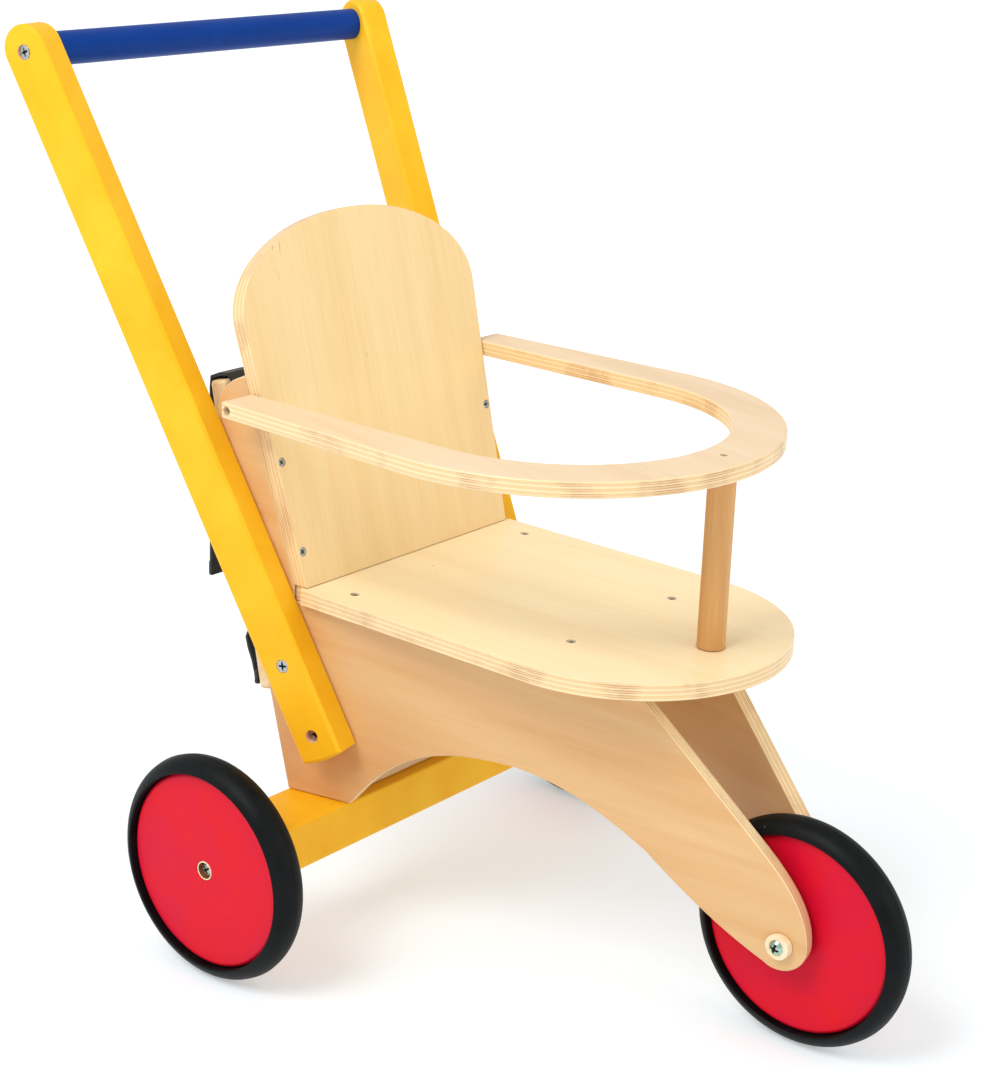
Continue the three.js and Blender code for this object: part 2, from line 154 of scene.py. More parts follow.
def localCoords(tree, basis, offset=(0, 0, 0)):
    # the piece's own coordinates, turned so that x runs with the grain
    place = addNode(tree, "ShaderNodeTexCoord")
    turned = addNode(tree, "ShaderNodeMapping", {
        "Vector": place.outputs["Object"], "Rotation": basis.to_euler("XYZ"), "Location": offset})
    return place, turned.outputs["Vector"]


fibreScale = {
    "broad": (4, 30),           # figure 250 mm long and 33 mm through
    "fine": (22, 200),          # fibres 45 mm long and 5 mm through
    "fleck": (130, 900, 60),    # flecks 8 mm long and 1.1 mm wide
    "patch": 26.0,              # flecks gather in patches 38 mm across
}
# across the grain, where real fibres are under 0.1 mm and are drawn coarser so that they show
faceFigure = {"broad": 55, "fine": 850, "depth": 0.035, "fleck": 0.5}    # bands 18 mm, fibres 1.2 mm
solidFigure = {"broad": 130, "fine": 1100, "depth": 0.09, "fleck": 0.4}    # bands 8 mm, fibres 0.9 mm


def fibres(tree, coords, tones, figure):
    # wood grain: broad figure, fine fibres and a few short dark flecks, all drawn out along local x
    long, deep = fibreScale["broad"]
    broad = addNode(tree, "ShaderNodeTexNoise", {
        "Vector": addNode(tree, "ShaderNodeVectorMath", {0: coords, 1: (long, figure["broad"], deep)},
                          operation="MULTIPLY").outputs[0],
        "Scale": 1.0, "Detail": 4.0, "Roughness": 0.55, "Distortion": 0.5})
    long, deep = fibreScale["fine"]
    fine = addNode(tree, "ShaderNodeTexNoise", {
        "Vector": addNode(tree, "ShaderNodeVectorMath", {0: coords, 1: (long, figure["fine"], deep)},
                          operation="MULTIPLY").outputs[0],
        "Scale": 1.0, "Detail": 3.0, "Roughness": 0.6})
    fleck = addNode(tree, "ShaderNodeTexNoise", {
        "Vector": addNode(tree, "ShaderNodeVectorMath", {0: coords, 1: fibreScale["fleck"]},
                          operation="MULTIPLY").outputs[0],
        "Scale": 1.0, "Detail": 0.0})
    where = addNode(tree, "ShaderNodeTexNoise", {
        "Vector": coords, "Scale": fibreScale["patch"], "Detail": 1.0})
    ramp = addNode(tree, "ShaderNodeValToRGB", {"Fac": broad.outputs["Fac"]})
    stops = ramp.color_ramp.elements
    stops[0].position, stops[0].color = 0.3, colour(tones["dark"])
    stops[1].position, stops[1].color = 0.72, colour(tones["light"])
    stops.new(0.5).color = colour(tones["mid"])
    streak = addNode(tree, "ShaderNodeMapRange", {
        "Value": fine.outputs["Fac"], "From Min": 0.3, "From Max": 0.7,
        "To Min": 1 - figure["depth"], "To Max": 1.03})
    grained = addNode(tree, "ShaderNodeMix", {
        0: 1.0, 6: ramp.outputs["Color"], 7: streak.outputs["Result"]},
                      data_type="RGBA", blend_type="MULTIPLY")
    spot = addNode(tree, "ShaderNodeMapRange", {
        "Value": fleck.outputs["Fac"], "From Min": 0.72, "From Max": 0.80})
    area = addNode(tree, "ShaderNodeMapRange", {
        "Value": where.outputs["Fac"], "From Min": 0.68, "From Max": 0.76})
    both = addNode(tree, "ShaderNodeMath", {0: spot.outputs["Result"], 1: area.outputs["Result"]},
                   operation="MULTIPLY")
    strength = addNode(tree, "ShaderNodeMath", {0: both.outputs[0], 1: figure["fleck"]}, operation="MULTIPLY")
    flecked = addNode(tree, "ShaderNodeMix", {
        0: strength.outputs[0], 6: grained.outputs[2], 7: colour(tones["fleck"])}, data_type="RGBA")
    return flecked.outputs[2], fine.outputs["Fac"]


plyTones = {
    "seat": {"light": "#f5e2b6", "mid": "#f4deb0", "dark": "#f0d7a6", "fleck": "#a06a3c"},
    "backrest": {"light": "#f0d49c", "mid": "#efcf94", "dark": "#ebc98c", "fleck": "#a06a3c"},
    "ring": {"light": "#ecd3af", "mid": "#ebcea7", "dark": "#e6c69d", "fleck": "#96623a"},
    # the side panels' tones are darker and more orange than the seat's partly for their own veneer and partly
    # as painted shade, for how the sides look in shade
    "panel": {"light": "#dbb37e", "mid": "#d8aa73", "dark": "#d2a067", "fleck": "#7d4a22"},
}
plyEdge = {
    "pale": "#f0d4a4", "deep": "#e2bc85", "grit": "#e9c795", "glue": "#7d4f28", "burn": "#8e4513",
    "plies": 7,
    "wander": 60.0,             # the plies waver over 17 mm
    "grain": (500, 500, 1600),    # end grain 2 mm by 0.6 mm, drawn coarser than the real one so that it shows
    "scorch": 34.0,             # brown stretches of glue line 29 mm long
}


def plywood(name, node, grain, tones):
    # clear-lacquered birch plywood: pale streaky faces, and seven plies with fine glue lines round the edges
    basis, normal, low, thickness = plateFrame(node, grain)
    material, tree, shader = newMaterial(name, Roughness=0.42, IOR=1.5, Coat_Weight=0.12, Coat_Roughness=0.25)
    place, coords = localCoords(tree, basis, (0, 0, -low))
    face, fine = fibres(tree, coords, tones, faceFigure)
    parts = addNode(tree, "ShaderNodeSeparateXYZ", {"Vector": coords})
    wander = addNode(tree, "ShaderNodeTexNoise", {
        "Vector": coords, "Scale": plyEdge["wander"], "Detail": 2.0})
    height = addNode(tree, "ShaderNodeMath", {0: parts.outputs["Z"], 1: plyEdge["plies"] / thickness},
                     operation="MULTIPLY")
    level = addNode(tree, "ShaderNodeMath", {0: wander.outputs["Fac"], 1: 0.35, 2: height.outputs[0]},
                    operation="MULTIPLY_ADD")
    ply = addNode(tree, "ShaderNodeMath", {0: level.outputs[0]}, operation="FRACT")
    pair = addNode(tree, "ShaderNodeMath", {0: level.outputs[0], 1: 2.0}, operation="MODULO")
    cross = addNode(tree, "ShaderNodeMapRange", {
        "Value": pair.outputs[0], "From Min": 0.94, "From Max": 1.06})
    grit = addNode(tree, "ShaderNodeTexNoise", {
        "Vector": addNode(tree, "ShaderNodeVectorMath", {0: coords, 1: plyEdge["grain"]},
                          operation="MULTIPLY").outputs[0],
        "Scale": 1.0, "Detail": 2.0})
    deep = addNode(tree, "ShaderNodeMix", {
        0: grit.outputs["Fac"], 6: colour(plyEdge["deep"]), 7: colour(plyEdge["grit"])}, data_type="RGBA")
    layers = addNode(tree, "ShaderNodeMix", {
        0: cross.outputs["Result"], 6: colour(plyEdge["pale"]), 7: deep.outputs[2]}, data_type="RGBA")
    line = addNode(tree, "ShaderNodeMapRange", {"Value": ply.outputs[0], "From Min": 0.0, "From Max": 0.11,
                                                "To Min": 0.62, "To Max": 0.0})
    lined = addNode(tree, "ShaderNodeMix", {
        0: line.outputs["Result"], 6: layers.outputs[2], 7: colour(plyEdge["glue"])}, data_type="RGBA")
    scorch = addNode(tree, "ShaderNodeTexNoise", {
        "Vector": coords, "Scale": plyEdge["scorch"], "Detail": 4.0})
    burnt = addNode(tree, "ShaderNodeMapRange", {"Value": scorch.outputs["Fac"], "From Min": 0.5,
                                                 "From Max": 0.64, "To Max": 0.95})
    seam = addNode(tree, "ShaderNodeMapRange", {"Value": ply.outputs[0], "From Min": 0.0, "From Max": 0.4,
                                                "To Min": 1.0, "To Max": 0.15})
    dashes = addNode(tree, "ShaderNodeMath", {0: burnt.outputs["Result"], 1: seam.outputs["Result"]},
                     operation="MULTIPLY")
    edge = addNode(tree, "ShaderNodeMix", {
        0: dashes.outputs[0], 6: lined.outputs[2], 7: colour(plyEdge["burn"])}, data_type="RGBA")
    square = addNode(tree, "ShaderNodeVectorMath", {0: place.outputs["Normal"], 1: tuple(normal)},
                     operation="DOT_PRODUCT")
    flat = addNode(tree, "ShaderNodeMath", {0: square.outputs["Value"]}, operation="ABSOLUTE")
    onFace = addNode(tree, "ShaderNodeMapRange", {
        "Value": flat.outputs[0], "From Min": 0.72, "From Max": 0.86})
    shown = addNode(tree, "ShaderNodeMix", {
        0: onFace.outputs["Result"], 6: edge.outputs[2], 7: face}, data_type="RGBA")
    tree.links.new(shown.outputs[2], shader.inputs["Base Color"])
    relief = addNode(tree, "ShaderNodeBump", {"Height": fine, "Strength": 0.25, "Distance": 0.05 * mm})
    tree.links.new(relief.outputs["Normal"], shader.inputs["Normal"])
    return material


def solidWood(name, grain, tones):
    # bare sanded beech: even, warm, with short fine rays along the grain
    axis = Vector(grain).normalized()
    side = axis.orthogonal().normalized()
    material, tree, shader = newMaterial(name, Roughness=0.55, IOR=1.5)
    coords = localCoords(tree, Matrix((axis, side, axis.cross(side))))[1]
    face, fine = fibres(tree, coords, tones, solidFigure)
    tree.links.new(face, shader.inputs["Base Color"])
    relief = addNode(tree, "ShaderNodeBump", {"Height": fine, "Strength": 0.3, "Distance": 0.06 * mm})
    tree.links.new(relief.outputs["Normal"], shader.inputs["Normal"])
    return material


paintScale = {
    "cloud": 28.0,              # unevenness 36 mm across
    "grain": (18, 420, 420),    # grain under the paint 56 mm long and 2.4 mm wide
    "peel": 520.0,              # brush and roller texture 2 mm across, drawn coarser so that it shows
}


def paint(name, tones, grain, gloss):
    # satin paint on wood: one clean colour with a faint unevenness, the grain just telegraphing through
    axis = Vector(grain).normalized()
    side = axis.orthogonal().normalized()
    material, tree, shader = newMaterial(
        name, Roughness=gloss["roughness"], IOR=1.5, Specular_IOR_Level=gloss["level"],
        Coat_Weight=gloss["coat"], Coat_Roughness=0.18)
    coords = localCoords(tree, Matrix((axis, side, axis.cross(side))))[1]
    cloud = addNode(tree, "ShaderNodeTexNoise", {
        "Vector": coords, "Scale": paintScale["cloud"], "Detail": 4.0, "Roughness": 0.6})
    reach = addNode(tree, "ShaderNodeMapRange", {
        "Value": cloud.outputs["Fac"], "From Min": 0.35, "From Max": 0.68})
    mixed = addNode(tree, "ShaderNodeMix", {
        0: reach.outputs["Result"], 6: colour(tones["deep"]), 7: colour(tones["main"])}, data_type="RGBA")
    tree.links.new(mixed.outputs[2], shader.inputs["Base Color"])
    under = addNode(tree, "ShaderNodeTexNoise", {
        "Vector": addNode(tree, "ShaderNodeVectorMath", {0: coords, 1: paintScale["grain"]},
                          operation="MULTIPLY").outputs[0],
        "Scale": 1.0, "Detail": 2.0})
    peel = addNode(tree, "ShaderNodeTexNoise", {
        "Vector": coords, "Scale": paintScale["peel"], "Detail": 1.0})
    height = addNode(tree, "ShaderNodeMath", {0: under.outputs["Fac"], 1: 0.8, 2: peel.outputs["Fac"]},
                     operation="MULTIPLY_ADD")
    relief = addNode(tree, "ShaderNodeBump", {"Height": height.outputs[0], "Strength": 0.35,
                                              "Distance": gloss["relief"] * mm})
    tree.links.new(relief.outputs["Normal"], shader.inputs["Normal"])
    worn = addNode(tree, "ShaderNodeMapRange", {
        "Value": cloud.outputs["Fac"],
        "To Min": gloss["roughness"] - 0.06, "To Max": gloss["roughness"] + 0.1})
    tree.links.new(worn.outputs["Result"], shader.inputs["Roughness"])
    return material


tyreScale = {"bloom": 70.0, "dust": 420.0}    # grey patches 14 mm across, and specks of dust 2.4 mm apart


def rubber(name, tones):
    # smooth moulded rubber: near black with a grey bloom and a few pale specks of dust
    material, tree, shader = newMaterial(name, Roughness=0.5, IOR=1.52, Specular_IOR_Level=0.12)
    place = addNode(tree, "ShaderNodeTexCoord")
    bloom = addNode(tree, "ShaderNodeTexNoise", {
        "Vector": place.outputs["Object"], "Scale": tyreScale["bloom"], "Detail": 5.0, "Roughness": 0.65})
    soft = addNode(tree, "ShaderNodeMapRange", {
        "Value": bloom.outputs["Fac"], "From Min": 0.35, "From Max": 0.75})
    body = addNode(tree, "ShaderNodeMix", {
        0: soft.outputs["Result"], 6: colour(tones["deep"]), 7: colour(tones["bloom"])}, data_type="RGBA")
    specks = addNode(tree, "ShaderNodeTexNoise", {
        "Vector": place.outputs["Object"], "Scale": tyreScale["dust"], "Detail": 0.0})
    dust = addNode(tree, "ShaderNodeMapRange", {
        "Value": specks.outputs["Fac"], "From Min": 0.86, "From Max": 0.9, "To Max": 0.4})
    shown = addNode(tree, "ShaderNodeMix", {
        0: dust.outputs["Result"], 6: body.outputs[2], 7: colour(tones["dust"])}, data_type="RGBA")
    tree.links.new(shown.outputs[2], shader.inputs["Base Color"])
    rough = addNode(tree, "ShaderNodeMapRange", {
        "Value": bloom.outputs["Fac"], "To Min": 0.36, "To Max": 0.62})
    tree.links.new(rough.outputs["Result"], shader.inputs["Roughness"])
    relief = addNode(tree, "ShaderNodeBump", {"Height": bloom.outputs["Fac"], "Strength": 0.2,
                                              "Distance": 0.15 * mm})
    tree.links.new(relief.outputs["Normal"], shader.inputs["Normal"])
    return material


platingScale = 900.0    # mottle 1.1 mm across, drawn coarser than the crystals so that it shows


def plated(name, tint, bright, roughness):
    # plated steel: bright metal, slightly mottled so the head doesn't mirror cleanly
    material, tree, shader = newMaterial(name, Metallic=1.0, Roughness=roughness)
    place = addNode(tree, "ShaderNodeTexCoord")
    mottle = addNode(tree, "ShaderNodeTexNoise", {
        "Vector": place.outputs["Object"], "Scale": platingScale, "Detail": 2.0})
    tone = addNode(tree, "ShaderNodeMix", {
        0: mottle.outputs["Fac"], 6: colour(tint), 7: colour(bright)}, data_type="RGBA")
    tree.links.new(tone.outputs[2], shader.inputs["Base Color"])
    rough = addNode(tree, "ShaderNodeMapRange", {
        "Value": mottle.outputs["Fac"], "To Min": roughness - 0.08, "To Max": roughness + 0.1})
    tree.links.new(rough.outputs["Result"], shader.inputs["Roughness"])
    return material


# ribs along the strap and picks across it, in mm, drawn coarser than the yarn so that they show
weave = {"rib": 1.5, "pick": 1.1, "low": "#08090b", "high": "#24272b"}


def webbing(name):
    # woven polyester webbing: black, matt, with fine ribs and a tight twill
    material, tree, shader = newMaterial(
        name, Roughness=0.85, IOR=1.5, Sheen_Weight=0.25, Sheen_Roughness=0.5)
    place = addNode(tree, "ShaderNodeTexCoord")
    parts = addNode(tree, "ShaderNodeSeparateXYZ", {"Vector": place.outputs["Object"]})
    length = addNode(tree, "ShaderNodeMath", {0: parts.outputs["Y"], 1: parts.outputs["Z"]}, operation="ADD")
    warp = addNode(tree, "ShaderNodeMath", {
        0: addNode(tree, "ShaderNodeMath", {0: parts.outputs["X"], 1: 2 * math.pi / (weave["rib"] * mm)},
                   operation="MULTIPLY").outputs[0]}, operation="SINE")
    slant = addNode(tree, "ShaderNodeMath", {0: parts.outputs["X"], 1: 0.5, 2: length.outputs[0]},
                    operation="MULTIPLY_ADD")
    weft = addNode(tree, "ShaderNodeMath", {
        0: addNode(tree, "ShaderNodeMath", {0: slant.outputs[0], 1: 2 * math.pi / (weave["pick"] * mm)},
                   operation="MULTIPLY").outputs[0]}, operation="SINE")
    crossed = addNode(tree, "ShaderNodeMath", {0: warp.outputs[0], 1: weft.outputs[0]}, operation="MULTIPLY")
    height = addNode(tree, "ShaderNodeMapRange", {
        "Value": crossed.outputs[0], "From Min": -1.0, "From Max": 1.0})
    tone = addNode(tree, "ShaderNodeMix", {
        0: height.outputs["Result"], 6: colour(weave["low"]), 7: colour(weave["high"])}, data_type="RGBA")
    tree.links.new(tone.outputs[2], shader.inputs["Base Color"])
    relief = addNode(tree, "ShaderNodeBump", {"Height": height.outputs["Result"], "Strength": 0.8,
                                              "Distance": 0.25 * mm})
    tree.links.new(relief.outputs["Normal"], shader.inputs["Normal"])
    return material


beechTones = {"light": "#f2dcb4", "mid": "#ecce9f", "dark": "#e1ba84", "fleck": "#b98550"}
creamTones = {"light": "#f7e5c5", "mid": "#f5dbb4", "dark": "#eecb9c", "fleck": "#d9a873"}
postTones = {"light": "#d4a467", "mid": "#cc9656", "dark": "#be8344", "fleck": "#a8713c"}
satin = {"roughness": 0.42, "coat": 0.05, "level": 0.18, "relief": 0.05}
dense = {"roughness": 0.4, "coat": 0.02, "level": 0.1, "relief": 0.05}
looks = {
    "beech": solidWood("sanded beech", (1, 0, 0), beechTones),
    "post": solidWood("beech dowel", (0, 0, 1), postTones),
    "cream": solidWood("pale beech turning", (1, 0, 0), creamTones),
    "yellow": paint("yellow painted beech", {"main": "#f5bc22", "deep": "#f0b010"}, (0, 0.46, 0.89), satin),
    "blue": paint("blue painted beech dowel", {"main": "#003a8d", "deep": "#00337f"}, (1, 0, 0), dense),
    "red": paint("red painted wooden disc", {"main": "#d80e1e", "deep": "#cf0a30"}, (0, 1, 0),
                 {"roughness": 0.38, "coat": 0.03, "level": 0.12, "relief": 0.09}),
    "rubber": rubber("black moulded rubber", {"deep": "#050708", "bloom": "#0f1315", "dust": "#9a9c9d"}),
    "zinc": plated("zinc-plated steel", "#8f9595", "#cfd2ce", 0.27),
    "steel": plated("plain steel", "#8d9092", "#c3c6c4", 0.36),
    "greenZinc": plated("green-passivated zinc", "#7fae98", "#c8dccb", 0.18),
    # painted shade: a near-black colour for the faces inside a screw's cross recess, where shade falls
    "grime": newMaterial("dark grime in the recess", Base_Color=colour("#1a1611"), Roughness=0.8)[0],
    "webbing": webbing("black polyester webbing"),
    # bare wood grain, darkened to brown as painted shade, for the inside of the hub's counterbore
    "socketShade": solidWood("wood with painted shade in the hub well", (0, 0, 1),
                        {"light": "#b9804e", "mid": "#9a6238", "dark": "#6d3d20", "fleck": "#4a2612"}),
    # bare beech grain with a reddish painted reflection and darker painted shade, for the walls of the arms'
    # screw wells
    "well": solidWood("bare beech in the screw well", (0, 0, 1),
                      {"light": "#f0c79a", "mid": "#dd9c78", "dark": "#b8604f", "fleck": "#8c3b34"}),
}
print("materials", len(looks))


def softShade(mesh, limit=math.radians(44)):
    # every corner takes the area-weighted normal of the faces that meet it at less than the limit
    around = [[] for _ in mesh.vertices]
    for face in mesh.polygons:
        for v in face.vertices:
            around[v].append((face.normal.copy(), face.area))
    least = math.cos(limit)
    normals = []
    for face in mesh.polygons:
        for v in face.vertices:
            total = Vector()
            for normal, area in around[v]:
                if normal.dot(face.normal) > least:
                    total += normal * area
            normals.append(total.normalized() if total.length > 0 else face.normal.copy())
    mesh.polygons.foreach_set("use_smooth", [True] * len(mesh.polygons))
    mesh.normals_split_custom_set(normals)


def addPiece(work, name, nodeNames, materials):
    mesh = bpy.data.meshes.new(name)
    bmesh.ops.recalc_face_normals(work, faces=work.faces)
    work.to_mesh(mesh)
    work.free()
    for material in materials:
        mesh.materials.append(material)
    softShade(mesh)
    piece = bpy.data.objects.new(name, mesh)
    bpy.context.scene.collection.objects.link(piece)
    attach(piece, nodes[nodeNames[0]]["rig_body"])
    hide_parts(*nodeNames)


wellFace = 6e-5    # the wall of a screw well has only faces under 60 square mm


def refine(node, materials, arris, steps=3, sharp=34):
    # keeps the node's shape and rounds its arrises, in mm, where two faces meet at more than 'sharp' degrees
    work = bmesh.new()
    work.from_mesh(nodes[node].data)
    bmesh.ops.remove_doubles(work, verts=work.verts, dist=0.003 * mm)
    bmesh.ops.dissolve_limit(work, angle_limit=math.radians(0.7), verts=work.verts, edges=work.edges)
    corner = math.radians(sharp)
    edges = [e for e in work.edges if e.is_manifold and e.calc_face_angle(0) > corner
             and not (inBore(e.verts[0].co) and inBore(e.verts[1].co))]
    bmesh.ops.bevel(work, geom=edges, offset=arris * mm, segments=steps, profile=0.5, affect="EDGES",
                    material=-1, clamp_overlap=True)
    if len(materials) > 1:
        for face in work.faces:
            middle = face.calc_center_median()
            # small faces in a screw well take the second material: bare beech with painted reddish reflection
            # and shade
            if inBore(middle) and face.calc_area() < wellFace:
                face.material_index = 1
    addPiece(work, node + "_fine", [node], materials)


plates = {
    "seat": {"slot": "plywood", "grain": (0, 1, 0), "tones": "seat", "arris": 0.9},
    "guard_ring": {"slot": "plywood", "grain": (0.2, 1, 0), "tones": "ring", "arris": 1.3},
    "backrest": {"slot": "plywood", "grain": (0, 0, 1), "tones": "backrest", "arris": 1.0},
    "side_panel_left": {"slot": "plywood_panel", "grain": (0, 1, 0.1), "tones": "panel", "arris": 0.9},
    "side_panel_right": {"slot": "plywood_panel", "grain": (0, 1, 0.1), "tones": "panel", "arris": 0.9},
}
for node, made in plates.items():
    material = plywood("birch plywood " + node.replace("_", " "), node, made["grain"],
                       plyTones[made["tones"]])
    refine(node, [material], made["arris"])
print("plates", len(plates))

blocks = {
    "handle_arm_left": {"look": ["yellow", "well"], "slot": "yellow_painted_wood", "arris": 0.55},
    "handle_arm_right": {"look": ["yellow", "well"], "slot": "yellow_painted_wood", "arris": 0.55},
    "rear_beam": {"look": ["yellow"], "slot": "yellow_painted_wood", "arris": 1.4},
    "cross_board": {"look": ["beech"], "slot": "beech", "arris": 0.8},
    "upper_rear_slat": {"look": ["beech"], "slot": "beech", "arris": 2.2},
    "lower_rear_slat": {"look": ["beech"], "slot": "beech", "arris": 2.2},
    "front_washer_left": {"look": ["cream"], "slot": "beech", "arris": 0.7},
    "front_washer_right": {"look": ["cream"], "slot": "beech", "arris": 0.7},
    "front_axle": {"look": ["steel"], "slot": "steel", "arris": 0.2},
    "front_spacer_left": {"look": ["rubber"], "slot": "black_rubber", "arris": 0.4},
    "front_spacer_right": {"look": ["rubber"], "slot": "black_rubber", "arris": 0.4},
    "rear_wheel_spacer_left": {"look": ["steel"], "slot": "steel", "arris": 0.3},
    "rear_wheel_spacer_right": {"look": ["steel"], "slot": "steel", "arris": 0.3},
}
for node, made in blocks.items():
    refine(node, [looks[key] for key in made["look"]], made["arris"])
print("blocks", len(blocks))


def turn(work, rings, where, count, closed=False, shape=None):
    # a profile of (radius, height) spun about local z, changed by 'shape' if given, then put in its place
    points = [work.verts.new((radius, 0, height)) for radius, height in rings]
    lines = [work.edges.new(pair) for pair in zip(points, points[1:])]
    if closed:
        lines.append(work.edges.new((points[-1], points[0])))
    bmesh.ops.spin(work, geom=points + lines, cent=(0, 0, 0), axis=(0, 0, 1), angle=2 * math.pi, steps=count,
                   use_merge=True)
    bmesh.ops.remove_doubles(work, verts=work.verts, dist=0.001 * mm)
    for v in work.verts if shape else []:
        shape(v)
    bmesh.ops.transform(work, matrix=where, verts=work.verts)


def upright(at, axis):
    # a frame at 'at' whose z is 'axis'
    return Matrix.Translation(at) @ Vector(axis).normalized().to_track_quat("Z", "Y").to_matrix().to_4x4()


def arc(centreR, centreH, radius, start, end, steps):
    return [(centreR + radius * math.cos(start + (end - start) * i / steps),
             centreH + radius * math.sin(start + (end - start) * i / steps)) for i in range(steps + 1)]


# in mm, but for the tyre's round, which is a little wider than the tyre because the disc cuts it flat
wheel = {"discEdge": 2.6, "discFit": 0.3, "bushWall": 0.75, "wellDepth": 3, "axleHole": 3,
         "round": 1.055, "tyreFit": 0.3, "grip": 0.8, "seam": 0.18, "lip": 0.6, "sectionSteps": 40}
for name in ("rear_wheel_left", "rear_wheel_right", "front_wheel"):
    low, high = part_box(name + "_disc")
    tyreLow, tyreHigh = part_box(name + "_tyre")
    bushLow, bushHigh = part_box(name + "_bush")
    middle = (low + high) / 2
    outward = Vector((-1, 0, 0)) if name == "rear_wheel_right" else Vector((1, 0, 0))
    at = upright(middle, outward)
    half = (high.x - low.x) / 2
    radius = (high.z - low.z) / 2
    hole = (bushHigh.z - bushLow.z) / 2
    edge = wheel["discEdge"] * mm
    bore = hole + wheel["discFit"] * mm

    work = bmesh.new()
    profile = [(bore, -half), *arc(radius - edge, -half + edge, edge, -math.pi / 2, 0, 8),
               *arc(radius - edge, half - edge, edge, 0, math.pi / 2, 8),
               (bore + 0.5 * mm, half), (bore, half - 0.4 * mm)]
    turn(work, profile, at, 128, closed=True)
    addPiece(work, name + "_disc_fine", [name + "_disc"], [looks["red"]])

    # a thin wooden sleeve whose outer end is counterbored for the screw
    work = bmesh.new()
    well = hole - wheel["bushWall"] * mm
    wellFloor = half - wheel["wellDepth"] * mm
    axleHole = wheel["axleHole"] * mm
    turn(work, [(axleHole, -half), (hole, -half), (hole, half - 0.3 * mm), (hole - 0.25 * mm, half),
                (well + 0.1 * mm, half), (well, half - 0.3 * mm), (well, wellFloor), (axleHole, wellFloor)],
         at, 64, closed=True)
    # the faces inside the counterbore take the brown wood colour that is painted shade in the well
    back = at.inverted()
    for face in work.faces:
        spot = back @ face.calc_center_median()
        if math.hypot(spot.x, spot.y) < well + 0.05 * mm and spot.z < half - 0.2 * mm:
            face.material_index = 1
    addPiece(work, name + "_bush_fine", [name + "_bush"], [looks["cream"], looks["socketShade"]])

    # the tyre's round section, cut flat where it grips the disc, with a faint mould seam at its crown
    work = bmesh.new()
    outer = (tyreHigh.z - tyreLow.z) / 2
    tube = (tyreHigh.x - tyreLow.x) / 2 * wheel["round"]
    centre = outer - tube
    inner = radius + wheel["tyreFit"] * mm
    sweep = math.acos((inner + wheel["grip"] * mm - centre) / tube)
    section = []
    for i in range(wheel["sectionSteps"] + 1):
        angle = -sweep + 2 * sweep * i / wheel["sectionSteps"]
        swell = -wheel["seam"] * mm
        if abs(angle) < 0.2:
            swell *= 1 - math.exp(-(angle / 0.05) ** 2)    # rises to the seam over the middle few degrees
        section.append((centre + (tube + swell) * math.cos(angle), (tube + swell) * math.sin(angle)))
    lip = section[-1][1] - wheel["lip"] * mm
    turn(work, [(inner, -lip), *section, (inner, lip)], at, 160, closed=True)
    addPiece(work, name + "_tyre_fine", [name + "_tyre"], [looks["rubber"]])
print("wheels", 3)

# handlebar: its ends follow the slant of the arms
low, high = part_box("handlebar")
ends = [p for p in corners("handlebar") if p.x > 0]
front = min(ends, key=lambda p: p.y)
back = max(ends, key=lambda p: p.y)
slant = (back.x - front.x) / (back.y - front.y)
middle = (low + high) / 2
reach = (front.x + back.x) / 2
work = bmesh.new()
radius = (high.y - low.y) / 2
rings = [(0, -reach), *[(radius, reach * t) for t in (-1, -0.5, 0, 0.5, 1)], (0, reach)]
turn(work, rings, upright(middle, (1, 0, 0)), 72)
for v in work.verts:
    if abs(v.co.x) > reach * 0.9:    # the end rings
        v.co.x += math.copysign(slant * (v.co.y - middle.y), v.co.x)
addPiece(work, "handlebar_fine", ["handlebar"], [looks["blue"]])

# ring post: a dowel with eased ends
low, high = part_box("ring_post")
middle = (low + high) / 2
radius = (high.x - low.x) / 2
half = (high.z - low.z) / 2
work = bmesh.new()
ease = 0.5 * mm
turn(work, [(0, -half), (radius - ease, -half), (radius, -half + ease), (radius, 0), (radius, half - ease),
            (radius - ease, half), (0, half)], upright(middle, (0, 0, 1)), 64)
addPiece(work, "ring_post_fine", ["ring_post"], [looks["post"]])
print("dowels 2")


# screws with a cross recess, a domed head or a flat one: sizes are parts of the head's radius
recess = {"arm": 0.16, "span": 0.62, "depth": 0.42, "rings": 22, "sides": 48}
domedHead = {"rise": 0.5, "shank": 0.46, "neck": 0.12}
flatHead = {"rise": 0.0, "shank": 0.48, "neck": 0.7}


def crossDepth(x, y, head):
    # how far the recess goes down at (x, y) on the head
    size = recess["span"] * head
    reach = math.hypot(x, y)
    if reach >= size:
        return 0.0
    wide = recess["arm"] * head * (1.15 - 0.45 * reach / size)
    inside = wide - min(abs(x), abs(y))
    if inside <= 0:
        return 0.0
    return recess["depth"] * head * min(1.0, inside / (0.3 * wide)) * (1 - 0.6 * (reach / size) ** 2)


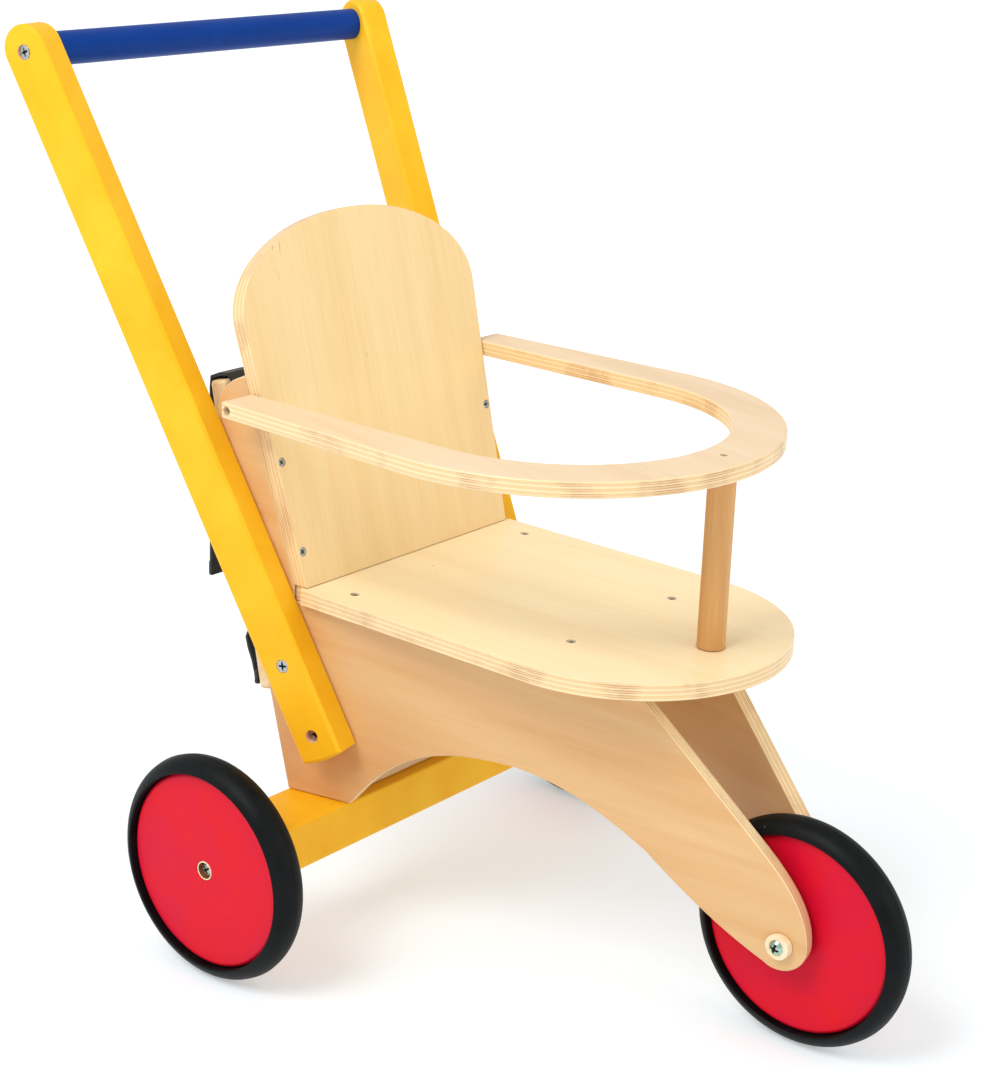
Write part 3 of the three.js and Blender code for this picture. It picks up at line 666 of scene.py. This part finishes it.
def crossScrew(node, form):
    at, axis, head, length = screws[node]
    where = upright(at, axis) @ Matrix.Rotation(random.uniform(0, math.pi / 2), 4, "Z")
    rise = form["rise"] * head
    rim = 0.97 * head
    shank = form["shank"] * head
    neck = -rise - form["neck"] * head
    count = recess["rings"]
    top = [(rim * k / count, -rise * (k / count) ** 2.4) for k in range(count + 1)]
    under = [(head, -rise - 0.04 * head), (rim, -rise - 0.12 * head), (shank, neck - 0.1 * head),
             (shank, -length + 2 * shank), (0, -length)]

    def sink(v):
        if v.co.z > -rise - 0.02 * head:
            v.co.z -= crossDepth(v.co.x, v.co.y, head)

    work = bmesh.new()
    turn(work, top + under, where, recess["sides"], shape=sink)
    back = where.inverted()
    for face in work.faces:
        spot = back @ face.calc_center_median()
        # the faces deep in the cross recess take the near-black painted shade
        if crossDepth(spot.x, spot.y, head) > 0.12 * head and spot.z > neck:
            face.material_index = 1
    metal = looks["greenZinc" if node.startswith("front_screw") else "zinc"]
    addPiece(work, node + "_fine", [node], [metal, looks["grime"]])


for name in screwNames:
    crossScrew(name, domedHead if name.startswith(("rear_wheel_screw", "front_screw")) else flatHead)
print("screws", len(screwNames))


# straps: the node's ribbon with soft edges, and a hem folded over at each end, in mm
strap = {"edge": 0.45, "thickness": 1.8, "hem": 8.5, "fold": 1.1, "wider": 0.6, "round": 0.9,
         "tailDepth": 4, "tailLength": 70, "footHeight": 5, "endHeight": 3}
for node in ("strap_left", "strap_right"):
    refine(node, [looks["webbing"]], strap["edge"], steps=2, sharp=60)
    points = corners(node)
    low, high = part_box(node)
    work = bmesh.new()
    tail = [p for p in points if p.y > high.y - strap["tailDepth"] * mm
            and p.z < low.z + strap["tailLength"] * mm]
    foot = [p for p in points if p.z < low.z + strap["footHeight"] * mm]
    for end in (tail, foot):
        bottom = min(p.z for p in end)
        sheet = [p for p in end if p.z < bottom + strap["endHeight"] * mm]
        middleY = sum(p.y for p in sheet) / len(sheet)
        size = Vector((high.x - low.x + strap["wider"] * mm, (strap["thickness"] + strap["fold"]) * mm,
                       strap["hem"] * mm))
        made = bmesh.ops.create_cube(work, size=1.0)["verts"]
        for v in made:
            v.co = Vector((v.co.x * size.x + (low.x + high.x) / 2, v.co.y * size.y + middleY,
                           v.co.z * size.z + bottom + size.z / 2))
    bmesh.ops.bevel(work, geom=work.edges[:], offset=strap["round"] * mm, segments=3, profile=0.5,
                    affect="EDGES", material=-1, clamp_overlap=True)
    addPiece(work, node + "_hems", [node], [looks["webbing"]])
print("straps 2")


# the studio: a plain pale floor that glows as painted light, more strongly away from the piece, so that it is
# whiter away from the shadows, a white surround and two soft lamps
studio = {"floor": "#cdd5da", "surround": "#ffffff", "size": 30,
          "glow": (0.38, 0.62), "glowReach": (0.4, 1.4),
          "asLight": 0.75, "asSeen": 1.0}
floorMesh = bpy.data.meshes.new("floor")
work = bmesh.new()
bmesh.ops.create_grid(work, x_segments=1, y_segments=1, size=studio["size"])
work.to_mesh(floorMesh)
work.free()
floorLook, tree, shader = newMaterial("white paper with a painted glow", Base_Color=colour(studio["floor"]), Roughness=0.9,
                                      Emission_Color=colour(studio["surround"]))
spot = addNode(tree, "ShaderNodeTexCoord")
far = addNode(tree, "ShaderNodeVectorMath", {0: spot.outputs["Object"]}, operation="LENGTH")
# painted light: the floor's glow rises with distance from the middle
glow = addNode(tree, "ShaderNodeMapRange", {
    "Value": far.outputs["Value"], "From Min": studio["glowReach"][0], "From Max": studio["glowReach"][1],
    "To Min": studio["glow"][0], "To Max": studio["glow"][1]})
tree.links.new(glow.outputs["Result"], shader.inputs["Emission Strength"])
floorMesh.materials.append(floorLook)
floor = bpy.data.objects.new("floor", floorMesh)
bpy.context.scene.collection.objects.link(floor)

world = bpy.data.worlds.new("studio")
bpy.context.scene.world = world
world.use_nodes = True
world.node_tree.nodes["Background"].inputs["Color"].default_value = colour(studio["surround"])
# seen directly the surround is white like the floor, and it lights the piece a little less
path = addNode(world.node_tree, "ShaderNodeLightPath")
seen = addNode(world.node_tree, "ShaderNodeMapRange", {
    "Value": path.outputs["Is Camera Ray"], "To Min": studio["asLight"], "To Max": studio["asSeen"]})
world.node_tree.links.new(seen.outputs["Result"], world.node_tree.nodes["Background"].inputs["Strength"])
bpy.context.scene.view_settings.view_transform = "Standard"


def addLamp(name, at, aim, size, power, tint):
    data = bpy.data.lights.new(name, "AREA")
    data.shape = "SQUARE"
    data.size = size
    data.energy = power
    data.color = colour(tint)[:3]
    lamp = bpy.data.objects.new(name, data)
    lamp.location = at
    lamp.rotation_euler = (Vector(aim) - Vector(at)).to_track_quat("-Z", "Y").to_euler()
    bpy.context.scene.collection.objects.link(lamp)


addLamp("key", (-1.7, 0.2, 2.2), (0, 0, 0.25), 1.2, 38, "#ffffff")
addLamp("fill", (0.3, -2.4, 1.3), (0, 0, 0.2), 1.6, 14, "#fffaf2")

view = {"azimuth": -52.04, "elevation": 17.17, "roll": 2.48, "at": (-0.9201, -0.7223, 0.6261), "lens": 81.92,
        "shift": (-0.0336, -0.0668)}
a, e, r = (math.radians(view[key]) for key in ("azimuth", "elevation", "roll"))
away = Vector((math.sin(a) * math.cos(e), -math.cos(a) * math.cos(e), math.sin(e)))
right = Vector((math.cos(a), math.sin(a), 0))
up = away.cross(right)
turned = Matrix((right * math.cos(r) + up * math.sin(r), up * math.cos(r) - right * math.sin(r), away))
turned.transpose()
lens = bpy.data.cameras.new("camera")
lens.sensor_fit = "HORIZONTAL"
lens.sensor_width = 36
lens.lens = view["lens"]
lens.shift_x, lens.shift_y = view["shift"]
lens.clip_end = 200
camera = bpy.data.objects.new("camera", lens)
camera.matrix_world = Matrix.Translation(view["at"]) @ turned.to_4x4()
bpy.context.scene.collection.objects.link(camera)
bpy.context.scene.camera = camera

print("done")
